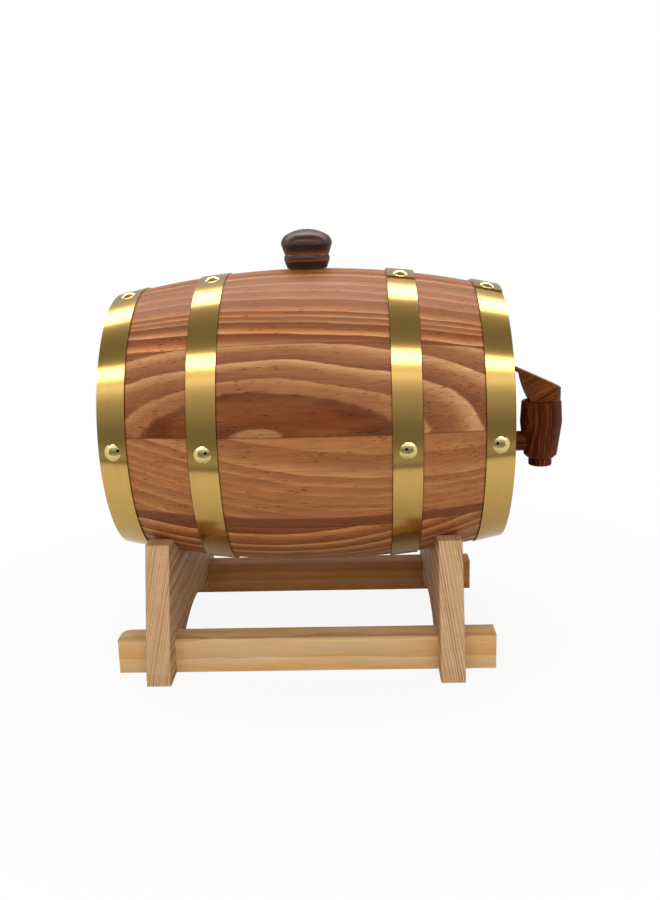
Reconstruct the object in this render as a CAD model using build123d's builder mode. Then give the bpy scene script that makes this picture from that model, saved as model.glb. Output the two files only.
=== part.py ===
"""Five-litre stave cask with a wooden tap, lying on a stand of two cradles and two rails.

The origin is the middle of the whole object's footprint, on the table. +X runs along the cask
towards the tap, +Y away from the user, +Z up. All sizes are in millimetres.
"""
from build123d import *
import os
from math import acos, cos, radians, sin, sqrt

# ---- cask ----------------------------------------------------------------------------------
cask_length = 280.0
belly_radius = 110.0            # outside of the staves at mid length
end_radius = 93.5               # outside of the staves at both ends
stave_thickness = 14.0
stave_widths = (42, 33, 33, 37, 35, 36, 38, 33, 37, 36)   # shares of the circle, bung stave first
axis_height = 170.5             # table to cask axis
seat_clearance = 0.3            # cask to cradle

# ---- heads ---------------------------------------------------------------------------------
head_recess = 13.0              # end of the staves to the head's outer face
head_thickness = 11.0
head_edge = 4.0                 # thickness of the bevelled edge that sits in the croze
head_bevel = 8.0                # how far the bevel runs in from the edge
croze_depth = 3.5
chime_bevel = 4.0
wood_clearance = 0.05           # between glued or driven pieces
cut_overrun = 1.0               # how far a cut runs past what it cuts
head_board_widths = (38, 44, 42, 40)                      # shares of the head, lowest first

# ---- hoops and their nails -----------------------------------------------------------------
hoop_width = 20.0
hoop_thickness = 1.0
chime_hoop_inset = 0.4          # end of the staves to the edge of the end hoop
quarter_hoop_place = 67.5       # mid length to the middle of the hoop
lap_angle = 15.0                # overlap of the hoop's two ends
lap_margin = 4.5                # from the nail in the overlap to the overlap's farther edge
nail_angles = (102.0, 183.0, 273.0, 3.0)                  # from +Y over the top
lap_nail_angles = (273.0, 273.0, 102.0, 102.0)            # the nail in each hoop's overlap
nail_head_diameter = 11.8
nail_head_height = 2.4
nail_shank_diameter = 2.6
nail_length = 9.0               # under the head

# ---- bung ----------------------------------------------------------------------------------
bung_head_radius = 18.8
bung_neck_radius = 16.2
bung_bead_radius = 16.9
bung_foot_radius = 14.6
bung_height = 28.2              # above the cask
bung_bead_foot = 4.2
bung_groove_height = 9.6
bung_widest_height = 17.4
bung_shoulder_radius = 8.0      # between the head's widest place and its crown
bung_plug_radius = 13.4         # where it enters the stave
bung_plug_length = 20.0
bung_taper = 0.05               # radius lost per length
plug_clearance = 0.08

# ---- tap -----------------------------------------------------------------------------------
tap_reach = 34.8                # end of the cask to the tap's upright axis
tap_top = 7.0                   # above the cask axis
tap_body_height = 43.5
tap_rim_radius = 14.9
tap_belly_radius = 15.8
tap_belly_drop = 16.0           # below the rim
tap_belly_round = 14.0          # blend between the upper and the lower taper
tap_foot_radius = 12.5
tap_foot_bevel = 2.2
spout_radius = 8.8
spout_length = 6.5
rim_round = 1.2
shank_drop = 24.0               # below the cask axis
shank_radius = 7.6
shank_point_radius = 6.9        # at its end inside the cask
shank_inside = 4.0              # past the head's inner face
shank_seat_depth = 4.5          # into the tap's body
flow_radius = 2.5
plug_top_radius = 8.6
plug_foot_radius = 6.6
plug_end_gap = 3.5              # plug's end to the shoulder above the spout

# ---- tap key (the handle) ------------------------------------------------------------------
key_lift = 0.3                  # key's underside above the rim
key_back_radius = 14.2
key_half_width = 11.0           # at the axis
key_tip_half_width = 8.0
key_tip_reach = 20.6            # from the tap's axis towards the cask
key_tip_height = 26.5           # above the rim
key_back_height = 10.2
key_lip_length = 5.6
key_lip_thickness = 2.8
key_waist_reach = 9.2           # at the rim, towards the cask
key_front_swell = 0.9           # of the front under the lip
key_round = 1.2

# ---- stand ---------------------------------------------------------------------------------
stand_shift = -4.9              # middle of the cask to the middle of the stand
cradle_spacing = 205.0          # between the boards' middles
cradle_thickness = 17.0
cradle_foot_depth = 215.4
cradle_top_depth = 166.8
cradle_top_drop = 75.5          # cask axis to the tops of the boards
arch_width = 144.0
arch_height = 22.5
toe_height = 8.0                # upright part of each board's end, under its slope
rail_length = 270.0
rail_spacing = 154.0            # between the rails' middles
rail_thickness = 18.0
rail_height = 25.5
rail_corner_round = 7.0
edge_round = 1.0

# ---- what follows from them ----------------------------------------------------------------
half_length = cask_length / 2
bilge = belly_radius - end_radius
bilge_arc = (half_length**2 + bilge**2) / (2 * bilge)     # radius of the staves' long curve
tap_front = half_length + tap_reach + tap_belly_radius
cask_x = (half_length - tap_front) / 2                    # puts the origin under the middle
cask_centre = Vector(cask_x, 0, axis_height)
cask_axis = Axis(cask_centre, (1, 0, 0))
side_plane = Plane(origin=cask_centre, x_dir=(1, 0, 0), z_dir=(0, -1, 0))
head_outer = half_length - head_recess
head_inner = head_outer - head_thickness
head_middle = (head_outer + head_inner) / 2
tap_x = cask_x + half_length + tap_reach
tap_axis_origin = Vector(tap_x, 0, axis_height)
tap_axis = Axis(tap_axis_origin, (0, 0, 1))
tap_plane = Plane(origin=tap_axis_origin, x_dir=(1, 0, 0), z_dir=(0, -1, 0))

os.makedirs("parts", exist_ok=True)


def cask_radius(x, depth=0.0):
    """Radius of the staves at x from mid length, a given depth under their outer face."""
    return belly_radius - bilge_arc + sqrt((bilge_arc - depth) ** 2 - x**2)


def radial_plane(angle):
    """Plane through the cask's axis whose x runs along it and whose y points out at this angle."""
    across = Vector(0, -sin(radians(angle)), cos(radians(angle)))
    return Plane(origin=cask_centre, x_dir=(1, 0, 0), z_dir=across)


def surface_plane(angle, x, height=0.0):
    """Plane square to the staves' outer face, a height above it, with its z pointing outwards."""
    slope = -x / sqrt(bilge_arc**2 - x**2)
    outward = Vector(0, cos(radians(angle)), sin(radians(angle)))
    normal = (outward - Vector(slope, 0, 0)).normalized()
    along = (outward * slope + Vector(1, 0, 0)).normalized()
    return Plane(
        origin=cask_centre + Vector(x, 0, 0) + outward * cask_radius(x) + normal * height,
        x_dir=along,
        z_dir=normal,
    )


def save(piece, name):
    """Label a finished piece and write it to its own file."""
    piece.part.label = name
    export_step(piece.part, f"parts/{name}.step")


# ---- staves --------------------------------------------------------------------------------
# Every stave is one turn of the same long section: a bowed outside and inside, a chime bevel
# at each end and the croze, the groove that holds the head. Its sides are radial planes.
croze_floor = cask_radius(head_middle, stave_thickness) + croze_depth
croze_half_floor = head_edge / 2 + wood_clearance
croze_reach = 2 * croze_depth                             # deep enough to break through the inner face
croze_half_mouth = croze_half_floor + croze_reach * (head_thickness - head_edge) / 2 / head_bevel


def inner_point(x):
    return (x, cask_radius(x, stave_thickness))


def stave_end(side):
    """Points of one end of the section, from the chime bevel out to the end of the outer face."""
    bevel_x = half_length - chime_bevel
    return [
        inner_point(side * bevel_x),
        (side * half_length, cask_radius(half_length, stave_thickness) + chime_bevel),
        (side * half_length, end_radius),
    ]


def bung_radius_at(height):
    """Radius of the bung's tapered plug at a height above the cask axis."""
    return bung_plug_radius - bung_taper * (belly_radius + seat_clearance - height)


hole_top = belly_radius + cut_overrun
hole_foot = belly_radius - 2 * stave_thickness
bung_axis = Axis(cask_centre, (0, 0, 1))
chime_hoop_place = half_length - chime_hoop_inset - hoop_width / 2
hoop_places = (-chime_hoop_place, -quarter_hoop_place, quarter_hoop_place, chime_hoop_place)
share = 360 / sum(stave_widths)
first_joint = 90 - stave_widths[0] * share / 2
stave_starts = [first_joint + share * sum(stave_widths[:i]) for i in range(len(stave_widths))]

for index, (start, width) in enumerate(zip(stave_starts, stave_widths)):
    turn = width * share
    nails_here = [
        surface_plane(angle, x)
        for x in hoop_places
        for angle in nail_angles
        if 0 < (angle - start) % 360 < turn
    ]
    with BuildPart() as stave:
        with BuildSketch(radial_plane(start)):
            with BuildLine():
                left_end = Polyline(*stave_end(-1))
                right_end = Polyline(*stave_end(1))
                ThreePointArc(left_end @ 1, (0, belly_radius), right_end @ 1)
                ThreePointArc(left_end @ 0, inner_point(0), right_end @ 0)
            make_face()
            for side in (-1, 1):
                with BuildLine():
                    Polyline(
                        (side * (head_middle - croze_half_mouth), croze_floor - croze_reach),
                        (side * (head_middle - croze_half_floor), croze_floor),
                        (side * (head_middle + croze_half_floor), croze_floor),
                        (side * (head_middle + croze_half_mouth), croze_floor - croze_reach),
                        close=True,
                    )
                make_face(mode=Mode.SUBTRACT)
        revolve(axis=cask_axis, revolution_arc=turn)
        if nails_here:
            with Locations(*nails_here):
                Hole(nail_shank_diameter / 2 + wood_clearance, depth=nail_length)
        if index == 0:
            with BuildSketch(side_plane):
                with BuildLine():
                    Polyline(
                        (0, hole_foot),
                        (bung_radius_at(hole_foot) + plug_clearance, hole_foot),
                        (bung_radius_at(hole_top) + plug_clearance, hole_top),
                        (0, hole_top),
                        close=True,
                    )
                make_face()
            revolve(axis=bung_axis, mode=Mode.SUBTRACT)
    save(stave, "bung_stave" if index == 0 else f"stave_{index + 1:02d}")

# ---- heads ---------------------------------------------------------------------------------
# Each head is a disc of edge-joined boards, bevelled to a thin edge that fills the croze.
head_radius = croze_floor - wood_clearance
flank_radius = head_radius - head_bevel


def shank_radius_at(x):
    """Radius of the tap's tapered shank at x from mid length."""
    start = head_inner - shank_inside
    part = (x - start) / (head_outer - start)
    return shank_point_radius + (shank_radius - shank_point_radius) * part


def board_edge(number):
    """Height above the cask axis of the joint under the board with this number."""
    return head_radius * (2 * sum(head_board_widths[:number]) / sum(head_board_widths) - 1)


for side, head_name in ((-1, "left_head"), (1, "tap_head")):
    for number in range(len(head_board_widths)):
        low, high = board_edge(number), board_edge(number + 1)
        with BuildPart() as board:
            with BuildSketch(side_plane):
                with BuildLine():
                    Polyline(
                        (side * head_inner, 0),
                        (side * head_inner, flank_radius),
                        (side * (head_middle - head_edge / 2), head_radius),
                        (side * (head_middle + head_edge / 2), head_radius),
                        (side * head_outer, flank_radius),
                        (side * head_outer, 0),
                        close=True,
                    )
                make_face()
            revolve(axis=cask_axis)
            split(bisect_by=Plane(cask_centre + Vector(0, 0, low)), keep=Keep.TOP)
            split(bisect_by=Plane(cask_centre + Vector(0, 0, high)), keep=Keep.BOTTOM)
            if side == 1 and low < -shank_drop < high:
                with BuildSketch(side_plane):
                    with BuildLine():
                        Polyline(
                            (head_inner, -shank_drop),
                            (head_outer, -shank_drop),
                            (head_outer, shank_radius_at(head_outer) + wood_clearance - shank_drop),
                            (head_inner, shank_radius_at(head_inner) + wood_clearance - shank_drop),
                            close=True,
                        )
                    make_face()
                shank_axis = Axis(cask_centre - Vector(0, 0, shank_drop), (1, 0, 0))
                revolve(axis=shank_axis, mode=Mode.SUBTRACT)
        save(board, f"{head_name}_board_{number + 1}")

# ---- hoops ---------------------------------------------------------------------------------
# A hoop is a flat strip rolled to a cone that hugs the staves. Its two ends overlap at the top,
# where the outer end stops in a step near the nail that holds both.
hoop_names = ("left_chime", "left_quarter", "right_quarter", "right_chime")


def hoop_section(x, low, high):
    """Corners of a section at x between two heights above the staves, in strip thicknesses."""
    slope = -x / sqrt(bilge_arc**2 - x**2)
    along = Vector(1, slope).normalized() * (hoop_width / 2)
    out = Vector(-slope, 1).normalized() * hoop_thickness
    seat = Vector(x, cask_radius(x))
    return [
        seat - along + out * low,
        seat + along + out * low,
        seat + along + out * high,
        seat - along + out * high,
    ]


for name, x, lap_nail_angle in zip(hoop_names, hoop_places, lap_nail_angles):
    with BuildPart() as hoop:
        with BuildSketch(radial_plane(0)):
            with BuildLine():
                Polyline(*hoop_section(x, 0, 1), close=True)
            make_face()
        revolve(axis=cask_axis)
        with BuildSketch(radial_plane(lap_nail_angle + lap_margin - lap_angle)):
            with BuildLine():
                Polyline(*hoop_section(x, 1, 2), close=True)
            make_face()
        revolve(axis=cask_axis, revolution_arc=lap_angle)
        with Locations(*[surface_plane(angle, x, 3 * hoop_thickness) for angle in nail_angles]):
            Hole(nail_shank_diameter / 2 + wood_clearance, depth=4 * hoop_thickness)
    save(hoop, f"{name}_hoop")

# ---- hoop nails ----------------------------------------------------------------------------
# Domed brass nails. The one in the lap sits one strip thickness higher.
dome_radius = ((nail_head_diameter / 2) ** 2 + nail_head_height**2) / (2 * nail_head_height)
dome_middle = (
    dome_radius * sin(acos(1 - nail_head_height / dome_radius) / 2),
    nail_head_height - dome_radius + dome_radius * cos(acos(1 - nail_head_height / dome_radius) / 2),
)

for name, x, lap_nail_angle in zip(hoop_names, hoop_places, lap_nail_angles):
    with BuildPart() as nails:
        for angle in nail_angles:
            layers = 2 if angle == lap_nail_angle else 1
            seat = surface_plane(angle, x, layers * hoop_thickness)
            with BuildSketch(Plane(origin=seat.origin, x_dir=seat.x_dir, z_dir=-seat.y_dir)):
                with BuildLine():
                    dome = ThreePointArc((0, nail_head_height), dome_middle, (nail_head_diameter / 2, 0))
                    Polyline(
                        dome @ 1,
                        (nail_shank_diameter / 2, 0),
                        (nail_shank_diameter / 2, -nail_length + nail_shank_diameter),
                        (0, -nail_length),
                        dome @ 0,
                    )
                make_face()
            revolve(axis=Axis(seat.origin, seat.z_dir))
    save(nails, f"{name}_nails")

# ---- bung ----------------------------------------------------------------------------------
# A turned stopper: domed head, a groove, a bead, a foot that stops just clear of the stave and
# a tapered plug through the bung hole.
bung_foot = belly_radius + seat_clearance
bung_end_radius = bung_radius_at(bung_foot - bung_plug_length)
# the crown's arc is centred on the axis, touches the shoulder's and ends at the bung's height
shoulder_centre = Vector(bung_head_radius - bung_shoulder_radius, bung_widest_height)
shoulder_top = bung_height - bung_shoulder_radius
crown_centre_height = (shoulder_top**2 - shoulder_centre.dot(shoulder_centre)) / (
    2 * (shoulder_top - bung_widest_height)
)
crown_centre = Vector(0, crown_centre_height)
crown_radius = bung_height - crown_centre_height
crown_foot = crown_centre + (shoulder_centre - crown_centre).normalized() * crown_radius
bung_seat = cask_centre + Vector(0, 0, bung_foot)
bung_plane = Plane(origin=bung_seat, x_dir=(1, 0, 0), z_dir=(0, -1, 0))
with BuildPart() as bung:
    with BuildSketch(bung_plane):
        with BuildLine():
            Polyline(
                (0, bung_height),
                (0, -bung_plug_length),
                (bung_end_radius, -bung_plug_length),
                (bung_plug_radius, 0),
                (bung_foot_radius, 0),
                (bung_neck_radius, bung_bead_foot),
            )
            bead = ThreePointArc(
                (bung_neck_radius, bung_bead_foot),
                (bung_bead_radius, (bung_bead_foot + bung_groove_height) / 2),
                (bung_neck_radius, bung_groove_height),
            )
            Line(bead @ 1, (bung_head_radius, bung_widest_height))
            shoulder = TangentArc((bung_head_radius, bung_widest_height), crown_foot, tangent=(0, 1))
            TangentArc(crown_foot, (0, bung_height), tangent=shoulder % 1)
        make_face()
    revolve(axis=bung_axis)
save(bung, "bung")

# ---- tap -----------------------------------------------------------------------------------
tap_foot = tap_top - tap_body_height
plug_foot = tap_foot + plug_end_gap


def plug_radius_at(z):
    """Radius of the key's tapered plug at a height above the cask axis."""
    part = (z - plug_foot) / (tap_top - plug_foot)
    return plug_foot_radius + (plug_top_radius - plug_foot_radius) * part


shank_tip = half_length + tap_reach - sqrt(tap_belly_radius**2 - shank_radius**2) + shank_seat_depth
shank_origin = Vector(cask_x, 0, axis_height - shank_drop)
shank_line = Axis(shank_origin, (1, 0, 0))
shank_plane = Plane(origin=shank_origin, x_dir=(1, 0, 0), z_dir=(0, -1, 0))

with BuildPart() as tap_body:
    with BuildSketch(tap_plane):
        with BuildLine():
            foot_top = tap_foot + tap_foot_bevel
            spout_foot = tap_foot - spout_length
            Line((0, spout_foot), (spout_radius, spout_foot))
            Line((spout_radius, spout_foot), (spout_radius, tap_foot))
            Line((spout_radius, tap_foot), (tap_foot_radius - tap_foot_bevel, tap_foot))
            Line((tap_foot_radius - tap_foot_bevel, tap_foot), (tap_foot_radius, foot_top))
            belly = (tap_belly_radius, tap_top - tap_belly_drop)
            rim = (tap_rim_radius, tap_top)
            FilletPolyline((tap_foot_radius, foot_top), belly, rim, radius=tap_belly_round)
            Line(rim, (0, tap_top))
            Line((0, tap_top), (0, spout_foot))
        make_face()
    revolve(axis=tap_axis)
    rings = tap_body.edges().filter_by(GeomType.CIRCLE).sort_by(Axis.Z)
    fillet([rings[0], rings[-1]], rim_round)
    # tapered seat of the key's plug
    with BuildSketch(tap_plane):
        with BuildLine():
            Polyline(
                (0, plug_foot - wood_clearance),
                (plug_radius_at(plug_foot) + plug_clearance, plug_foot - wood_clearance),
                (plug_radius_at(tap_top) + plug_clearance, tap_top),
                (0, tap_top),
                close=True,
            )
        make_face()
    revolve(axis=tap_axis, mode=Mode.SUBTRACT)
    # way out through the spout
    with Locations(Plane(origin=(tap_x, 0, axis_height + spout_foot), z_dir=(0, 0, -1))):
        Hole(flow_radius, depth=tap_top - spout_foot - plug_end_gap)
    # seat of the shank, and the way in from it to the plug
    with Locations(Plane(origin=shank_origin + Vector(shank_tip, 0, 0), z_dir=(-1, 0, 0))):
        Cylinder(
            shank_radius + wood_clearance,
            tap_belly_radius,
            align=(Align.CENTER, Align.CENTER, Align.MIN),
            mode=Mode.SUBTRACT,
        )
    with Locations(Plane(origin=(tap_x, 0, axis_height - shank_drop), z_dir=(-1, 0, 0))):
        Cylinder(
            flow_radius,
            tap_belly_radius,
            align=(Align.CENTER, Align.CENTER, Align.MIN),
            mode=Mode.SUBTRACT,
        )
save(tap_body, "tap_body")

with BuildPart() as tap_shank:
    with BuildSketch(shank_plane):
        with BuildLine():
            shank_start = head_inner - shank_inside
            Polyline(
                (shank_start, flow_radius),
                (shank_start, shank_point_radius),
                (head_outer, shank_radius),
                (shank_tip - wood_clearance, shank_radius),
                (shank_tip - wood_clearance, flow_radius),
                close=True,
            )
        make_face()
    revolve(axis=shank_line)
save(tap_shank, "tap_shank")

# ---- tap key -------------------------------------------------------------------------------
# The handle is a wedge: cut from the side by its sloping top, its thin lip and the swelling front
# under the lip, and from above by a round back and a tongue that narrows towards the cask.
key_foot = tap_top + key_lift
with BuildPart() as tap_key:
    with BuildSketch(tap_plane):
        with BuildLine():
            tip = (-key_tip_reach, tap_top + key_tip_height)
            back_top = (key_back_radius, tap_top + key_back_height)
            run = Vector(*back_top) - Vector(*tip)
            down = Vector(run.Y, -run.X).normalized() * key_lip_thickness
            lip_foot = Vector(*tip) + down
            lip_root = lip_foot + run.normalized() * key_lip_length
            waist = Vector(-key_waist_reach, key_foot)
            out_of_key = (lip_root - waist).normalized().rotate(Axis.Z, 90)
            swell = (lip_root + waist) / 2 + out_of_key * key_front_swell
            Line(tip, back_top)
            Line(back_top, (key_back_radius, key_foot))
            Line((key_back_radius, key_foot), waist)
            ThreePointArc(waist, swell, lip_root)
            Line(lip_root, lip_foot)
            Line(lip_foot, tip)
        make_face()
    extrude(amount=key_back_radius, both=True)
    with BuildSketch(Plane(origin=(tap_x, 0, axis_height + key_foot))):
        with BuildLine():
            shoulder_x = sqrt(key_back_radius**2 - key_half_width**2)
            tongue_end = -key_tip_reach - key_lip_thickness
            Line((tongue_end, key_tip_half_width), (shoulder_x, key_half_width))
            ThreePointArc((shoulder_x, key_half_width), (key_back_radius, 0), (shoulder_x, -key_half_width))
            Line((shoulder_x, -key_half_width), (tongue_end, -key_tip_half_width))
            Line((tongue_end, -key_tip_half_width), (tongue_end, key_tip_half_width))
        make_face()
    extrude(amount=key_tip_height, mode=Mode.INTERSECT)
    fillet(tap_key.faces().sort_by(Axis.Z)[-1].edges(), key_round)
    # plug, with its side port and the bore down to the spout
    with BuildSketch(tap_plane):
        with BuildLine():
            Polyline(
                (0, plug_foot),
                (plug_foot_radius, plug_foot),
                (plug_top_radius, tap_top),
                (plug_top_radius, key_foot),
                (0, key_foot),
                close=True,
            )
        make_face()
    revolve(axis=tap_axis)
    with Locations(Plane(origin=(tap_x, 0, axis_height + plug_foot), z_dir=(0, 0, -1))):
        Hole(flow_radius, depth=-shank_drop - plug_foot + flow_radius)
    with Locations(Plane(origin=(tap_x, 0, axis_height - shank_drop), z_dir=(0, 1, 0))):
        Cylinder(
            flow_radius,
            plug_top_radius,
            align=(Align.CENTER, Align.CENTER, Align.MIN),
            mode=Mode.SUBTRACT,
        )
save(tap_key, "tap_key")

# ---- stand ---------------------------------------------------------------------------------
# Two cradle boards cross two rails in half laps, flush underneath. The ends of the boards slope
# in above a short upright foot. The seats are sawn square through the boards, so the cask bears
# on their inner edges.
stand_x = cask_x + stand_shift
lap_height = rail_height / 2
half_foot = cradle_foot_depth / 2
half_top = cradle_top_depth / 2
cradle_height = axis_height - cradle_top_drop

for side, name in ((-1, "left_cradle"), (1, "right_cradle")):
    with BuildPart() as cradle:
        board_x = stand_x + side * cradle_spacing / 2
        inner_x = stand_shift + side * (cradle_spacing - cradle_thickness) / 2
        seat_radius = cask_radius(inner_x) + seat_clearance
        seat_half = sqrt(seat_radius**2 - cradle_top_drop**2)
        with BuildSketch(Plane(origin=(board_x, 0, 0), x_dir=(0, 1, 0), z_dir=(1, 0, 0))):
            with BuildLine():
                Polyline(
                    (-arch_width / 2, 0),
                    (-half_foot, 0),
                    (-half_foot, toe_height),
                    (-half_top, cradle_height),
                    (-seat_half, cradle_height),
                )
                seat_bottom = axis_height - seat_radius
                ThreePointArc((-seat_half, cradle_height), (0, seat_bottom), (seat_half, cradle_height))
                Polyline(
                    (seat_half, cradle_height),
                    (half_top, cradle_height),
                    (half_foot, toe_height),
                    (half_foot, 0),
                    (arch_width / 2, 0),
                )
                ThreePointArc((arch_width / 2, 0), (0, arch_height), (-arch_width / 2, 0))
            make_face()
        extrude(amount=cradle_thickness / 2, both=True)
        for rail_side in (-1, 1):
            with Locations((board_x, rail_side * rail_spacing / 2, 0)):
                Box(
                    cradle_thickness,
                    rail_thickness + 2 * wood_clearance,
                    lap_height + wood_clearance,
                    align=(Align.CENTER, Align.CENTER, Align.MIN),
                    mode=Mode.SUBTRACT,
                )
        rail_outside = (rail_spacing + rail_thickness) / 2 + edge_round
        ends = cradle.edges().filter_by(
            lambda edge: abs(edge.center().Y) > rail_outside and abs(edge.tangent_at(0.5).Z) > 0.5
        )
        fillet(ends, edge_round)
    save(cradle, name)

for side, name in ((-1, "front_rail"), (1, "back_rail")):
    with BuildPart() as rail:
        rail_y = side * rail_spacing / 2
        with Locations((stand_x, rail_y, 0)):
            Box(rail_length, rail_thickness, rail_height, align=(Align.CENTER, Align.CENTER, Align.MIN))
        left_corner = rail.edges().filter_by(Axis.Z).group_by(Axis.X)[0].sort_by(Axis.Y)[-1]
        fillet(left_corner, rail_corner_round)
        for board_side in (-1, 1):
            with Locations((stand_x + board_side * cradle_spacing / 2, rail_y, lap_height)):
                Box(
                    cradle_thickness + 2 * wood_clearance,
                    rail_thickness,
                    rail_height,
                    align=(Align.CENTER, Align.CENTER, Align.MIN),
                    mode=Mode.SUBTRACT,
                )
    save(rail, name)
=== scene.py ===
# %% [markdown]
# # A small table cask on its cradle stand
# The cask is coopered: ten bowed staves, two heads of edge-joined boards, four brass hoops with
# domed nails, a turned bung and a wooden plug tap. It lies in two cradle boards that are
# half-lapped over two rails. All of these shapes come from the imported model, so this script
# dresses them: it gives each node the wood or the metal that the real piece is made of, and sets
# up the floor, the lights and the camera.

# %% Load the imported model
import random
from math import cos, degrees, pi, radians, sin

import bmesh
import bpy
from mathutils import Matrix, Vector


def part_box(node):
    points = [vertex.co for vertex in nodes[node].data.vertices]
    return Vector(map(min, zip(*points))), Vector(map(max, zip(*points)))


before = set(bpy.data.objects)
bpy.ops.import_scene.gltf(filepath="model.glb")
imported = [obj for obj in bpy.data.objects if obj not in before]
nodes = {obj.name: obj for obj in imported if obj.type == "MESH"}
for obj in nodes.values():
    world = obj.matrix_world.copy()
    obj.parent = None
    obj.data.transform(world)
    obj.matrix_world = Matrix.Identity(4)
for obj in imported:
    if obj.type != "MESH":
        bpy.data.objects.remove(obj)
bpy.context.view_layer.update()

mm = 1000.0  # millimetres in a metre

# %% [markdown]
# ## Where the cask is
# Wood grain and brush marks follow the cask, so its axis is measured once from the staves. The
# hoops sit symmetrically about the middle of its length.

# %% Measure the cask
stave_names = ["bung_stave"] + [f"stave_{number:02d}" for number in range(2, 11)]
stave_boxes = [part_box(name) for name in stave_names]
cask_low = Vector([min(box[0][axis] for box in stave_boxes) for axis in range(3)])
cask_high = Vector([max(box[1][axis] for box in stave_boxes) for axis in range(3)])
cask_middle = (cask_low + cask_high) / 2
belly_radius = (cask_high.z - cask_low.z) / 2
print("cask axis at", [round(v * mm, 1) for v in cask_middle], "mm")
print("belly radius", round(belly_radius * mm, 1), "mm")

# %% [markdown]
# ## Helpers for materials
# A hex colour is written as the eye sees it, in sRGB, while a shader works with linear light, so
# one function converts it. Another adds one node to a material, fills in its settings and joins
# its sockets. A setting is either a property of the node, an input socket, or the stops of a
# colour ramp. The last two make an empty material and put one on named nodes.

# %% Colour and node helpers
def linear(code):
    channels = [int(code[i : i + 2], 16) / 255 for i in (1, 3, 5)]
    return [c / 12.92 if c <= 0.04045 else ((c + 0.055) / 1.055) ** 2.4 for c in channels] + [1.0]


def add_node(tree, kind, settings=None, links=None):
    node = tree.nodes.new(kind)
    for key, value in (settings or {}).items():
        if key == "stops":
            band = node.color_ramp
            while len(band.elements) < len(value):
                band.elements.new(1.0)
            for element, (place, code) in zip(band.elements, value):
                element.position = place
                element.color = linear(code) if isinstance(code, str) else code
        elif isinstance(key, str) and hasattr(node, key):
            setattr(node, key, value)
        else:
            node.inputs[key].default_value = value
    for key, source in (links or {}).items():
        tree.links.new(source.outputs[0] if hasattr(source, "outputs") else source, node.inputs[key])
    return node


def new_material(name):
    material = bpy.data.materials.new(name)
    material.use_nodes = True
    material.node_tree.nodes.clear()
    return material, material.node_tree


def dress(names, material):
    for name in names:
        for material_slot in nodes[name].material_slots:
            material_slot.material = material


print("a mid grey of #808080 is", round(linear("#808080")[0], 3), "in linear light")

# %% [markdown]
# ## Camera
# The camera stands a little right of the cask's middle and 300 mm above the table, about 0.7 m in
# front of it, and looks down by 13 degrees. Its rotation is built from three unit vectors: right,
# up and back.

# %% Camera
camera_place = Vector((0.0093, -0.6934, 0.3012))
camera_yaw, camera_pitch, camera_roll = -0.0309, 0.2253, 0.0274
camera_lens = 36.8
level_look = Vector((sin(camera_yaw), cos(camera_yaw), 0))
look = cos(camera_pitch) * level_look - Vector((0, 0, sin(camera_pitch)))
level = Vector((cos(camera_yaw), -sin(camera_yaw), 0))
down = look.cross(level)
right = cos(camera_roll) * level + sin(camera_roll) * down
up = sin(camera_roll) * level - cos(camera_roll) * down
camera_data = bpy.data.cameras.new("camera")
camera_data.lens = camera_lens
camera = bpy.data.objects.new("camera", camera_data)
camera_turn = Matrix((right, up, -look)).transposed().to_4x4()
camera.matrix_world = Matrix.Translation(camera_place) @ camera_turn
bpy.context.scene.collection.objects.link(camera)
bpy.context.scene.camera = camera
bpy.context.scene.view_settings.view_transform = "Standard"
print("camera looks down by", round(degrees(camera_pitch), 1), "degrees, lens", camera_lens, "mm")

# %% [markdown]
# ## Floor
# A plain white sheet lies on the table. What the camera sees of it is mostly its own white, so it
# joins the background, and the rest is lit, so that the soft shadow under the stand stays. Mirrors
# see none of that white close to the stand, where the shadow is, and nearly all of it further out.

# %% Floor
floor_half = 6.0
# the sheet's own white, near and far: (metres from the middle, share of it)
camera_white = (0.1, 0.9), (0.45, 1.0)
mirror_white = (0.08, 0.0), (0.42, 0.95)


def sheet_object(name, mesh_maker, material):
    shape = bmesh.new()
    mesh_maker(shape)
    mesh = bpy.data.meshes.new(name)
    shape.to_mesh(mesh)
    shape.free()
    mesh.materials.append(material)
    made = bpy.data.objects.new(name, mesh)
    bpy.context.scene.collection.objects.link(made)
    return made


def floor_shape(shape):
    bmesh.ops.create_grid(shape, x_segments=1, y_segments=1, size=floor_half)


white_sheet, tree = new_material("white_paper_sheet")
paper = add_node(tree, "ShaderNodeBsdfDiffuse", {"Color": linear("#f2f2f0")})
own_white = add_node(tree, "ShaderNodeEmission", {"Color": (1, 1, 1, 1), "Strength": 1.0})
spot = add_node(tree, "ShaderNodeTexCoord")
away = add_node(tree, "ShaderNodeVectorMath", {"operation": "LENGTH"}, {0: spot.outputs["Object"]})
seen_share, mirrored_share = [
    add_node(
        tree, "ShaderNodeMapRange",
        {"interpolation_type": "SMOOTHSTEP",
         "From Min": near, "From Max": far, "To Min": near_share, "To Max": far_share},
        {"Value": away.outputs["Value"]},
    )
    for (near, near_share), (far, far_share) in (camera_white, mirror_white)
]
ray = add_node(tree, "ShaderNodeLightPath")
mirrored = add_node(
    tree, "ShaderNodeMath", {"operation": "ADD", "use_clamp": True},
    {0: ray.outputs["Is Glossy Ray"], 1: ray.outputs["Is Transmission Ray"]},
)
share = add_node(tree, "ShaderNodeMath", {"operation": "MULTIPLY"}, {0: mirrored, 1: mirrored_share})
share = add_node(
    tree, "ShaderNodeMath", {"operation": "MULTIPLY_ADD"},
    {0: ray.outputs["Is Camera Ray"], 1: seen_share, 2: share},
)
mixed = add_node(tree, "ShaderNodeMixShader", {}, {0: share, 1: paper, 2: own_white})
add_node(tree, "ShaderNodeOutputMaterial", {}, {"Surface": mixed})
floor = sheet_object("floor", floor_shape, white_sheet)
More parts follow.
